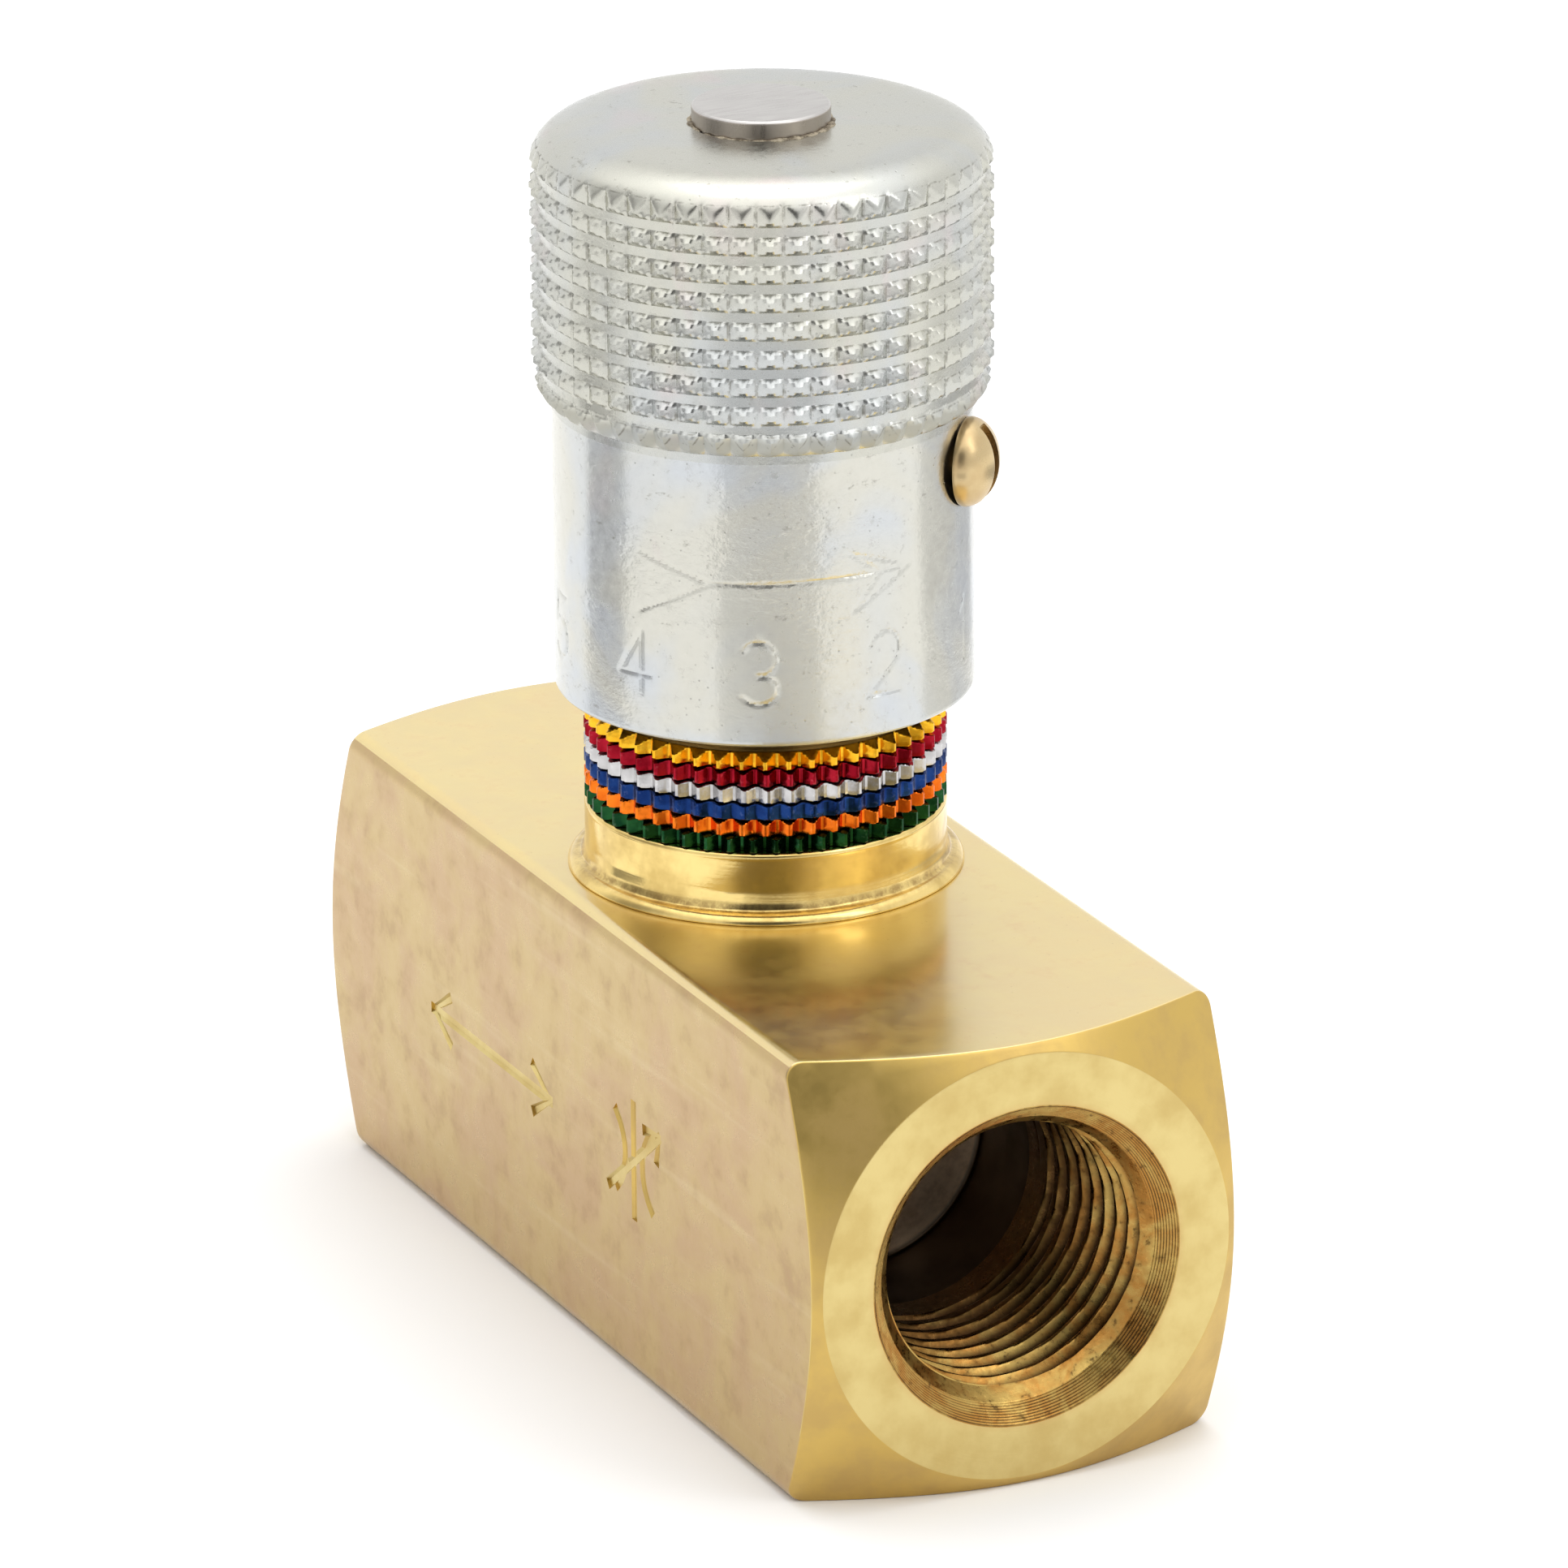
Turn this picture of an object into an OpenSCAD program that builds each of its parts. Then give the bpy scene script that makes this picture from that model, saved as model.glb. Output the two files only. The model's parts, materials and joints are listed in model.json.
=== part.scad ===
// Inline needle valve with a colour-banded micrometer knob.
// Origin: centre of the valve body's bottom face. +Z runs up the stem, +X out of one port.
// Modelled fully open: the knob is at the top of its travel and all six colour bands show.

/* [Valve body] */
// Side of the square bar that the body is cut from
bar_side = 25.4; // [24.5:0.1:27]
// Length of the body from port face to port face
body_length = 64.8; // [62:0.1:72]
// Radius on the long edges of the bar
bar_edge_radius = 1.0; // [0.4:0.1:1.6]
// Radius of the flat ring around each port
end_face_radius = 12.18; // [11:0.01:12.6]
// Slope of the turned end chamfer: length along the bar for each millimetre of radius
end_chamfer_slope = 0.64; // [0.3:0.01:1]

/* [Ports] */
// Crest radius of the tapered female port thread
port_radius = 7.5; // [6.5:0.05:8]
// Depth of each port from its face to its flat blind end
port_depth = 20.5; // [17:0.1:22]
// Radius of the countersink at the mouth of each port
port_mouth_radius = 9.12; // [8.6:0.01:9.8]
// Radius of the drilled passages between the ports and the needle chamber
passage_radius = 2.2; // [1.5:0.1:2.4]

/* [Seat and stem] */
// Radius of the orifice that the needle closes
orifice_radius = 2.5; // [2:0.05:2.8]
// Radius of the needle chamber above the seat
chamber_radius = 4.6; // [4.2:0.1:5]
// Threads per inch of the stem, which set the lift of each turn
stem_threads_per_inch = 24; // [24:1:28]
// Turns of the knob between closed and fully open
turns_open = 6; // [3:1:6]
// Nominal radius of the stem's thread
stem_thread_radius = 4.7625; // [4.5:0.0025:4.9]
// Radius of the stem where it carries its seals
seal_land_radius = 5.55; // [5.3:0.01:5.8]
// Radius of the stem's end where it shows above the knob
stem_end_radius = 3.81; // [3:0.01:4.2]
// Height of the stem's end above the knob's top
stem_end_proud = 1.02; // [0.4:0.01:2]

/* [Bonnet] */
// Radius of the bonnet's plain neck
neck_radius = 10.07; // [9.9:0.01:10.2]
// Height of the ledge on the neck that carries the colour bands
band_ledge_z = 29.25; // [28.5:0.05:30]
// Radius of the flange that seats on the body
flange_radius = 11.05; // [10.9:0.05:12.2]
// Height of the flange
flange_height = 0.65; // [0.4:0.05:1]
// Radius of the tube that the bands slide on
tube_radius = 8.9; // [8.7:0.01:9]
// Height of the top of the tube
tube_top_z = 52; // [50:0.1:53]
// Radius of the spigot that screws into the body
spigot_radius = 8.15; // [7.9:0.01:8.4]

/* [Colour bands] */
// Thickness of one band
band_height = 0.96; // [0.9:0.01:1.05]
// Chamfer on the upper rim of each band
band_chamfer = 0.3; // [0.1:0.05:0.5]

/* [Knob] */
// Outer radius of the knurled grip
grip_radius = 12.7; // [12.3:0.01:13.5]
// Outer radius of the numbered skirt
skirt_radius = 11.62; // [11.4:0.01:12]
// Height of the skirt's lower rim when the valve is fully open
skirt_bottom_z = 35.99; // [35.7:0.01:36.4]
// Height of the lower end of the knurled grip
grip_bottom_z = 52.7; // [52:0.1:54]
// Height of the flat top of the knob
knob_top_z = 68.1; // [67:0.1:70]
// Radius of the flat on the knob's top, inside its rounded shoulder
knob_flat_radius = 10.3; // [9.8:0.05:11]

/* [Lock screw] */
// Height of the lock screw
screw_z = 49.75; // [48:0.05:50.5]
// Direction of the lock screw, from +X towards +Y
screw_angle = 46; // [0:1:359]
// Radius of the lock screw's round head
screw_head_radius = 2.5; // [2.2:0.01:2.8]
// Height of the lock screw's round head
screw_head_height = 1.75; // [1.6:0.01:2.4]
// Nominal radius of the lock screw's thread
screw_radius = 1.42; // [1.2:0.01:1.5]
// Gap under the lock screw's head while it is slack
screw_slack = 0.1; // [0.1:0.05:0.5]

/* [Hidden] */
$fn = 96;

eps = 0.01;
inch = 25.4;
lift = turns_open * inch / stem_threads_per_inch;
port_axis_z = bar_side / 2;
web_half = body_length / 2 - port_depth;

// Running clearance between a turned piece and its bore, on the radius
running = 0.04;
// Gap left around a seal or under a stop, where the real pieces just touch
nip = 0.05;

// Needle chamber, from the seat up to the well that takes the bonnet
seat_z = 12;
seat_rise = 0.8;
chamber_top_z = 19;
lower_chamber_z = 5;
well_radius = spigot_radius + nip;
upper_passage_z = 16.6;
lower_passage_z = 8;

// Bonnet bore: the seals run in its lower part, the stem's thread in its upper part
seal_bore_radius = seal_land_radius + nip;
bonnet_stop_z = 35.5;
spigot_end_z = chamber_top_z + 0.3;
neck_lip = 0.25;
neck_flare = 0.95;
band_bore_radius = tube_radius + running;

// Static seal round the foot of the bonnet
bonnet_groove_z = 20;
bonnet_groove_height = 1.2;
bonnet_seal_section = 0.5;
bonnet_seal_ring_radius = spigot_radius - bonnet_seal_section;

// Stem, at its fully open height
land_bottom_z = 20 + lift;
land_top_z = bonnet_stop_z - 2 * nip;
groove_radius = 3.9;
groove_bottom_z = land_bottom_z + 2.1;
backup_height = 1;
o_ring_section = (seal_land_radius - groove_radius - nip) / 2;
o_ring_radius = groove_radius + nip + o_ring_section;
groove_height = 2 * backup_height + 2 * o_ring_section + 4 * nip;
shank_radius = 3.2;

// Knob bore: wide over the bands, close over the tube, closed by the crown above
crown_z = 61;
band_clearance_radius = 10.45;
band_room_top_z = band_ledge_z + 6 * band_height + lift + 1.4;
knob_bore_radius = tube_radius + 0.3;
grip_lower_chamfer = 0.9;
shoulder_radius = grip_radius - knob_flat_radius;

function colour_of_band(i) =
  ["darkgreen", "darkorange", "royalblue", "silver", "firebrick", "goldenrod"][i];

// A turned solid about Z from [radius, height] points
module turned(outline) {
  rotate_extrude() polygon(outline);
}

// A ring of round section about Z
module round_ring(ring_radius, section_radius) {
  rotate_extrude() translate([ring_radius, 0]) circle(r = section_radius, $fn = 32);
}

// The bar's square section, with its four long edges rounded
module bar_section() {
  inset = bar_side / 2 - bar_edge_radius;
  square([bar_side, 2 * inset], center = true);
  square([2 * inset, bar_side], center = true);
  for (sx = [-1, 1], sy = [-1, 1])
    translate([sx * inset, sy * inset]) circle(r = bar_edge_radius, $fn = 32);
}

// The envelope of the bar after both ends are turned, about the port axis
module turned_ends() {
  reach = bar_side;
  drop = (reach - end_face_radius) * end_chamfer_slope;
  rotate([0, 90, 0]) turned([
    [0, -body_length / 2], [end_face_radius, -body_length / 2],
    [reach, -body_length / 2 + drop], [reach, body_length / 2 - drop],
    [end_face_radius, body_length / 2], [0, body_length / 2]
  ]);
}

// One port: countersunk mouth, thread bore and flat blind end, opening towards +X
module port() {
  countersink = port_mouth_radius - port_radius;
  translate([web_half, 0, port_axis_z]) rotate([0, 90, 0]) turned([
    [0, 0], [port_radius, 0], [port_radius, port_depth - countersink],
    [port_mouth_radius + eps, port_depth + eps], [0, port_depth + eps]
  ]);
}

// A passage drilled from the blind end of a port to the chamber on the stem's axis
module passage(height, towards) {
  translate([0, 0, height]) rotate([0, 90 * towards, 0])
    cylinder(r = passage_radius, h = web_half + eps);
}

module valve_body() {
  color("goldenrod") difference() {
    intersection() {
      translate([0, 0, port_axis_z]) rotate([90, 0, 90])
        linear_extrude(height = body_length, center = true) bar_section();
      translate([0, 0, port_axis_z]) turned_ends();
    }
    port();
    mirror([1, 0, 0]) port();
    turned([
      [0, lower_chamber_z], [orifice_radius, lower_chamber_z], [orifice_radius, seat_z],
      [orifice_radius + seat_rise, seat_z + seat_rise], [chamber_radius, seat_z + seat_rise],
      [chamber_radius, chamber_top_z], [well_radius, chamber_top_z],
      [well_radius, bar_side + eps], [0, bar_side + eps]
    ]);
    passage(upper_passage_z, -1);
    passage(lower_passage_z, 1);
  }
}

module bonnet() {
  color("gold") difference() {
    turned([
      [seal_bore_radius, spigot_end_z], [spigot_radius, spigot_end_z],
      [spigot_radius, bar_side], [flange_radius, bar_side],
      [flange_radius - 0.05, bar_side + 0.25 * flange_height],
      [flange_radius - 0.35, bar_side + 0.8 * flange_height],
      [flange_radius - 0.8, bar_side + flange_height],
      [neck_radius, bar_side + flange_height + neck_flare],
      [neck_radius, band_ledge_z - neck_lip], [neck_radius - neck_lip, band_ledge_z],
      [tube_radius, band_ledge_z], [tube_radius, tube_top_z - 0.5],
      [tube_radius - 0.5, tube_top_z],
      [stem_thread_radius + running, tube_top_z],
      [stem_thread_radius + running, bonnet_stop_z], [seal_bore_radius, bonnet_stop_z]
    ]);
    difference() {
      translate([0, 0, bonnet_groove_z])
        cylinder(r = spigot_radius + eps, h = bonnet_groove_height);
      translate([0, 0, bonnet_groove_z - eps])
        cylinder(r = bonnet_seal_ring_radius - bonnet_seal_section - nip,
                 h = bonnet_groove_height + 2 * eps);
    }
  }
}

module bonnet_seal() {
  color("dimgray")
    translate([0, 0, bonnet_groove_z + bonnet_groove_height / 2])
      round_ring(bonnet_seal_ring_radius, bonnet_seal_section);
}

// Colour band number i, counted up from the ledge
module band(i) {
  z = band_ledge_z + i * band_height;
  color(colour_of_band(i)) turned([
    [band_bore_radius, z], [neck_radius, z],
    [neck_radius, z + band_height - band_chamfer],
    [neck_radius - band_chamfer, z + band_height], [band_bore_radius, z + band_height]
  ]);
}

module band_green() { band(0); }
module band_orange() { band(1); }
module band_blue() { band(2); }
module band_silver() { band(3); }
module band_red() { band(4); }
module band_gold() { band(5); }

module stem() {
  tip_z = 6.2 + lift;
  end_z = knob_top_z + stem_end_proud;
  end_chamfer = 0.15;
  seat_gap = 0.08;
  cone_z = seat_z + lift;
  needle_top = orifice_radius - seat_gap;
  color("silver") turned([
    [0, tip_z], [0.48 * orifice_radius, tip_z], [0.76 * orifice_radius, tip_z + 2.5],
    [needle_top, cone_z], [shank_radius, cone_z + shank_radius - needle_top],
    [shank_radius, land_bottom_z - 1], [seal_land_radius - 0.5, land_bottom_z],
    [seal_land_radius, land_bottom_z + 0.5],
    [seal_land_radius, groove_bottom_z], [groove_radius, groove_bottom_z],
    [groove_radius, groove_bottom_z + groove_height],
    [seal_land_radius, groove_bottom_z + groove_height], [seal_land_radius, land_top_z],
    [stem_thread_radius, land_top_z], [stem_thread_radius, crown_z],
    [stem_end_radius, crown_z], [stem_end_radius, end_z - end_chamfer],
    [stem_end_radius - end_chamfer, end_z], [0, end_z]
  ]);
}

module stem_o_ring() {
  color("black")
    translate([0, 0, groove_bottom_z + groove_height / 2])
      round_ring(o_ring_radius, o_ring_section);
}

// A square-cut backup ring whose lower face is at height z
module backup_ring(z) {
  color("whitesmoke") translate([0, 0, z]) difference() {
    cylinder(r = seal_land_radius, h = backup_height);
    translate([0, 0, -eps]) cylinder(r = groove_radius + nip, h = backup_height + 2 * eps);
  }
}

module backup_ring_lower() {
  backup_ring(groove_bottom_z + nip);
}

module backup_ring_upper() {
  backup_ring(groove_bottom_z + groove_height - nip - backup_height);
}

// Outline of the knob's rounded shoulder, from the grip's side up to the flat top
function shoulder_arc() = [
  for (a = [0:10:90]) [
    knob_flat_radius + shoulder_radius * cos(a),
    knob_top_z - 0.5 * shoulder_radius + 0.5 * shoulder_radius * sin(a)
  ]
];

module knob() {
  skirt_chamfer = 0.35;
  color("lightgray") difference() {
    turned(concat(
      [
        [band_clearance_radius, skirt_bottom_z],
        [skirt_radius - skirt_chamfer, skirt_bottom_z],
        [skirt_radius, skirt_bottom_z + skirt_chamfer], [skirt_radius, grip_bottom_z],
        [grip_radius - grip_lower_chamfer, grip_bottom_z],
        [grip_radius, grip_bottom_z + grip_lower_chamfer]
      ],
      shoulder_arc(),
      [
        [stem_end_radius, knob_top_z], [stem_end_radius, crown_z],
        [knob_bore_radius, crown_z], [knob_bore_radius, band_room_top_z],
        [band_clearance_radius, band_room_top_z]
      ]
    ));
    at_lock_screw() cylinder(r = screw_radius + running, h = grip_radius);
  }
}

// Places its children with +Z pointing out along the lock screw
module at_lock_screw() {
  translate([0, 0, screw_z]) rotate([0, 0, screw_angle]) rotate([0, 90, 0]) children();
}

module lock_screw() {
  head_z = skirt_radius + screw_slack;
  tip_z = tube_radius + 0.1;
  point = 0.4;
  slot_width = 0.8;
  slot_depth = 0.9;
  dome = [
    for (a = [0:10:90])
      [screw_head_radius * cos(a), head_z + screw_head_height * sin(a)]
  ];
  color("goldenrod") at_lock_screw() difference() {
    turned(concat(
      [[0, tip_z], [screw_radius - point, tip_z], [screw_radius, tip_z + point],
       [screw_radius, head_z]],
      dome
    ));
    translate([-screw_head_radius, -slot_width / 2, head_z + screw_head_height - slot_depth])
      cube([2 * screw_head_radius, slot_width, slot_depth + eps]);
  }
}

valve_body();
bonnet();
bonnet_seal();
band_green();
band_orange();
band_blue();
band_silver();
band_red();
band_gold();
stem();
stem_o_ring();
backup_ring_lower();
backup_ring_upper();
knob();
lock_screw();
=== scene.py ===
import json
import math

import bmesh
import bpy
import numpy as np
from mathutils import Matrix, Vector


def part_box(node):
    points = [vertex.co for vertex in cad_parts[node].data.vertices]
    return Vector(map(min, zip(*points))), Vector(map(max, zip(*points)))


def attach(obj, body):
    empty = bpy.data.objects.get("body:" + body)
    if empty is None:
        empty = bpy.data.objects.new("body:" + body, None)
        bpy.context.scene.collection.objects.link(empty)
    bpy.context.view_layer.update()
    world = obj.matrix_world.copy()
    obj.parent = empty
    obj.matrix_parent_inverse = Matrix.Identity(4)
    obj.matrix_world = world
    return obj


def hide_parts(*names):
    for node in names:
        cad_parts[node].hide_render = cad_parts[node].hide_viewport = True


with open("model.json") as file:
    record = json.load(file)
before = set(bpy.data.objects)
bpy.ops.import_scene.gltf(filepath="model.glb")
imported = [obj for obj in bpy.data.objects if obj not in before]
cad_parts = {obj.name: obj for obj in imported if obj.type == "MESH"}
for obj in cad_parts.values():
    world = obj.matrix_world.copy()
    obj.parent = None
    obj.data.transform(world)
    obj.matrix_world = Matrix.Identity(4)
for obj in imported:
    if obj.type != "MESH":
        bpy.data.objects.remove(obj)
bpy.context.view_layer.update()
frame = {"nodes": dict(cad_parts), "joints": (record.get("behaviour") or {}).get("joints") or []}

# Lengths below are in millimetres and are turned into metres where a mesh is made.
MM = 0.001
TAU = 2 * math.pi


def size_mm(node):
    """Lowest and highest corner of a CAD node, in millimetres."""
    low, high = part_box(node)
    return np.array(low) / MM, np.array(high) / MM


BODY_LOW, BODY_HIGH = size_mm("valve_body")
KNOB_LOW, KNOB_HIGH = size_mm("knob")
STEM_LOW, STEM_HIGH = size_mm("stem")

HALF_LENGTH = BODY_HIGH[0]
HALF_SIDE = BODY_HIGH[1]
AXIS_Z = (BODY_LOW[2] + BODY_HIGH[2]) / 2
TOP_Z = BODY_HIGH[2]

# The front of the valve, as an angle from +X towards +Y
FRONT_ANGLE = math.radians(-25.45)


# ---- mesh helpers


def make_object(name, points, faces):
    """A mesh object from points in millimetres."""
    mesh = bpy.data.meshes.new(name)
    mesh.from_pydata(np.asarray(points) * MM, [], faces)
    mesh.validate()
    shape = bmesh.new()
    shape.from_mesh(mesh)
    bmesh.ops.recalc_face_normals(shape, faces=shape.faces)
    shape.to_mesh(mesh)
    shape.free()
    piece = bpy.data.objects.new(name, mesh)
    bpy.context.scene.collection.objects.link(piece)
    return piece


def grid_faces(rows, columns, close_rows):
    """Quads between rings of points, numbered so that they face away from the axis."""
    row = np.arange(rows if close_rows else rows - 1)[:, None]
    column = np.arange(columns)[None, :]
    following = (column + 1) % columns
    above = (row + 1) % rows
    corners = [
        row * columns + column,
        row * columns + following,
        above * columns + following,
        above * columns + column,
    ]
    return np.stack(np.broadcast_arrays(*corners), axis=-1).reshape(-1, 4)


def shell_from_rings(name, rings, tips=()):
    """A closed mesh from an array of rings. Its ends close at two tips, or join each other."""
    rows, columns, _ = rings.shape
    faces = grid_faces(rows, columns, close_rows=not tips).tolist()
    points = np.vstack([rings.reshape(-1, 3), *tips])
    if tips:
        tip, last = rows * columns, (rows - 1) * columns
        faces += [[tip, (a + 1) % columns, a] for a in range(columns)]
        faces += [[tip + 1, last + a, last + (a + 1) % columns] for a in range(columns)]
    return make_object(name, points, faces)


def ring(radius, angle, height):
    """Points round Z. The radius and the height are each one number, or one for each angle."""
    return np.column_stack([radius * np.cos(angle), radius * np.sin(angle), height + 0 * angle])


def turned(name, outline, columns=192):
    """A solid of revolution about Z. The outline runs anticlockwise in (radius, height)."""
    outline = np.asarray(outline, float)
    on_axis = outline[:, 0] < 1e-6
    tips = [[0, 0, height] for height in outline[on_axis, 1]]
    angle = np.arange(columns) * TAU / columns
    rings = [ring(radius, angle, height) for radius, height in outline[~on_axis]]
    return shell_from_rings(name, np.array(rings), tips)


def bend(start, corner, end, steps=4):
    """Points along a curve that rounds the corner between two points."""
    start, corner, end = (np.asarray(point, float) for point in (start, corner, end))
    shares = [step / steps for step in range(steps + 1)]
    return [(1 - s) ** 2 * start + 2 * s * (1 - s) * corner + s**2 * end for s in shares]


def rounded(outline, radius, steps=4):
    """The outline with each inner corner cut back by radius and rounded."""
    outline = [np.asarray(point, float) for point in outline]
    result = [outline[0]]
    for before, corner, after in zip(outline, outline[1:], outline[2:]):
        ends = []
        for neighbour in (before, after):
            away = neighbour - corner
            length = np.linalg.norm(away)
            ends.append(corner + away / length * min(radius, 0.45 * length))
        result += bend(ends[0], corner, ends[1], steps)
    result.append(outline[-1])
    return result


def arc(centre_x, centre_y, radius_x, radius_y, start, end, steps=10):
    """Points along an elliptic arc, with its angles in degrees."""
    angles = np.radians(np.linspace(start, end, steps + 1))
    return [(centre_x + radius_x * math.cos(a), centre_y + radius_y * math.sin(a)) for a in angles]


def smooth_by_angle(piece, degrees=32):
    """Smooth shading that keeps sharp edges and the flatness of large faces."""
    mesh = piece.data
    mesh.shade_smooth()
    mesh.set_sharp_from_angle(angle=math.radians(degrees))
    weighted = piece.modifiers.new("flat_faces", "WEIGHTED_NORMAL")
    weighted.keep_sharp = True


def apply_modifiers(piece):
    """Turns the piece's modifiers into its mesh."""
    graph = bpy.context.evaluated_depsgraph_get()
    mesh = bpy.data.meshes.new_from_object(piece.evaluated_get(graph))
    piece.modifiers.clear()
    piece.data = mesh


def cut(piece, cutters):
    """Cuts closed cutters out of a piece, and removes them."""
    for cutter in cutters:
        boolean = piece.modifiers.new("cut", "BOOLEAN")
        boolean.operation = "DIFFERENCE"
        boolean.solver = "EXACT"
        boolean.object = cutter
    apply_modifiers(piece)
    for cutter in cutters:
        bpy.data.objects.remove(cutter)


def finish_piece(piece, body, node, materials, degrees=32, sort_faces=None):
    """Gives a piece its materials and shading, puts it on its body and hides its CAD node."""
    piece.data.materials.clear()
    for material in materials:
        piece.data.materials.append(material)
    if sort_faces:
        sort_faces(piece.data)
    smooth_by_angle(piece, degrees)
    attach(piece, body)
    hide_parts(node)


# ---- material helpers


class Nodes:
    """A node tree, with short calls for the nodes that the materials and the world use."""

    def __init__(self, tree):
        self.tree = tree

    def add(self, kind, **settings):
        node = self.tree.nodes.new("ShaderNode" + kind)
        for name, value in settings.items():
            setattr(node, name, value)
        return node

    def feed(self, value, socket):
        """Links a socket, or sets it to a number, a vector or (red, green, blue)."""
        if isinstance(value, bpy.types.NodeSocket):
            self.tree.links.new(value, socket)
        elif socket.type == "RGBA":
            socket.default_value = (*value, 1.0)
        else:
            socket.default_value = value

    def maths(self, operation, a, b=0.0):
        node = self.add("Math", operation=operation)
        self.feed(a, node.inputs[0])
        self.feed(b, node.inputs[1])
        return node.outputs[0]

    def times(self, a, b):
        return self.maths("MULTIPLY", a, b)

    def distance(self, value, centre):
        """How far the value is from a centre, either way."""
        return self.maths("ABSOLUTE", self.maths("SUBTRACT", value, centre))

    def split(self, vector):
        node = self.add("SeparateXYZ")
        self.feed(vector, node.inputs[0])
        return node.outputs

    def between(self, value, low, high, to_low=0.0, to_high=1.0):
        """The value's smooth way from low to high, mapped to to_low and to_high and clamped."""
        node = self.add("MapRange", interpolation_type="SMOOTHSTEP")
        self.feed(value, node.inputs["Value"])
        limits = {"From Min": low, "From Max": high, "To Min": to_low, "To Max": to_high}
        for name, number in limits.items():
            node.inputs[name].default_value = number
        return node.outputs["Result"]


class Surface(Nodes):
    """A Principled material that varies with the place on the object."""

    def __init__(self, name, metallic=0.0, roughness=0.5):
        self.material = bpy.data.materials.new(name)
        self.material.use_nodes = True
        super().__init__(self.material.node_tree)
        self.shader = self.tree.nodes["Principled BSDF"]
        self.shader.inputs["Metallic"].default_value = metallic
        self.shader.inputs["Roughness"].default_value = roughness
        self.last_normal = None
        millimetres = self.add("VectorMath", operation="SCALE")
        self.feed(self.add("TexCoord").outputs["Object"], millimetres.inputs[0])
        millimetres.inputs["Scale"].default_value = 1 / MM
        self.place = millimetres.outputs[0]

    def stretched(self, x, y, z):
        """The place in millimetres, stretched by a factor on each axis."""
        node = self.add("VectorMath", operation="MULTIPLY")
        self.feed(self.place, node.inputs[0])
        node.inputs[1].default_value = (x, y, z)
        return node.outputs[0]

    def around(self, axis):
        """(radius, angle, height) about an axis: Z, or X at the ports' height."""
        x, y, z = self.split(self.place)
        if axis == "X":
            x, y, z = y, self.maths("SUBTRACT", z, AXIS_Z), x
        radius = self.maths("SQRT", self.maths("ADD", self.times(x, x), self.times(y, y)))
        return radius, self.maths("ARCTAN2", y, x), z

    def tool_marks(self, across, angle, per_mm, wobble=0.3, **settings):
        """Fine turned lines as a height. They lie across a radius or a height, and waver."""
        node = self.add("CombineXYZ")
        self.feed(across, node.inputs[0])
        self.feed(self.times(angle, wobble), node.inputs[1])
        return self.noise(per_mm, 2.0, node.outputs[0], **settings)

    def noise(self, scale, detail=3.0, vector=None, roughness=0.5, distortion=0.0):
        """Noise whose scale is in features per millimetre."""
        node = self.add("TexNoise")
        self.feed(vector or self.place, node.inputs["Vector"])
        node.inputs["Scale"].default_value = scale
        node.inputs["Detail"].default_value = detail
        node.inputs["Roughness"].default_value = roughness
        node.inputs["Distortion"].default_value = distortion
        return node.outputs["Fac"]

    def spots(self, scale, size):
        """Round specks: 1 at the middle of a speck and 0 outside it."""
        node = self.add("TexVoronoi")
        self.feed(self.place, node.inputs["Vector"])
        node.inputs["Scale"].default_value = scale
        return self.between(node.outputs["Distance"], size, 0.0)

    def blend(self, share, first, second):
        """A mix of two colours, each a socket or (red, green, blue)."""
        node = self.add("Mix", data_type="RGBA")
        self.feed(share, node.inputs["Factor"])
        self.feed(first, node.inputs[6])
        self.feed(second, node.inputs[7])
        return node.outputs[2]

    def stained(self, base, colour, value, low, high, most=1.0):
        """The base, with up to most of a colour as the value goes from low to high."""
        return self.blend(self.between(value, low, high, 0.0, most), base, colour)

    def colour(self, value):
        self.feed(value, self.shader.inputs["Base Color"])

    def roughness(self, noise, low, high, least=None):
        """Roughness from low to high with a noise, and nowhere under least."""
        value = self.between(noise, 0.3, 0.7, low, high)
        if least is not None:
            value = self.maths("MAXIMUM", value, least)
        self.feed(value, self.shader.inputs["Roughness"])

    def haze(self, roughness, tint, index):
        """A smooth coat, so that a sharp reflection lies over a blurred one."""
        coat = {"Weight": 1.0, "Roughness": roughness, "IOR": index, "Tint": (*tint, 1.0)}
        for name, value in coat.items():
            self.shader.inputs["Coat " + name].default_value = value

    def bump(self, height, height_mm):
        """Adds relief: a height of 1 stands this many millimetres proud."""
        node = self.add("Bump")
        node.inputs["Distance"].default_value = height_mm * MM
        self.feed(height, node.inputs["Height"])
        if self.last_normal is not None:
            self.feed(self.last_normal, node.inputs["Normal"])
        self.last_normal = node.outputs["Normal"]
        self.feed(self.last_normal, self.shader.inputs["Normal"])


# ---- materials

SPECK_BROWN = (0.42, 0.27, 0.12)


def brass_side():
    """Drawn bar sides: satin, with pale tan tarnish and a few fine marks."""
    surface = Surface("brass_side", metallic=1.0)
    clouds = surface.noise(0.16, 5.0, roughness=0.62, distortion=0.6)
    patches = surface.noise(0.5, 4.0, roughness=0.6)
    streaks = surface.noise(1.0, 2.0, surface.stretched(0.05, 1.2, 1.2))
    base = surface.stained((0.56, 0.415, 0.195), (0.53, 0.365, 0.195), clouds, 0.38, 0.64)
    base = surface.stained(base, (0.42, 0.275, 0.15), patches, 0.52, 0.75, 0.45)
    base = surface.stained(base, (0.68, 0.56, 0.33), streaks, 0.55, 0.8, 0.25)
    base = surface.blend(surface.times(surface.spots(0.9, 0.10), 0.5), base, SPECK_BROWN)
    surface.colour(base)
    surface.roughness(patches, 0.26, 0.40)
    surface.bump(streaks, 0.010)
    surface.bump(surface.noise(4.0, 3.0), 0.006)
    return surface.material


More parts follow.
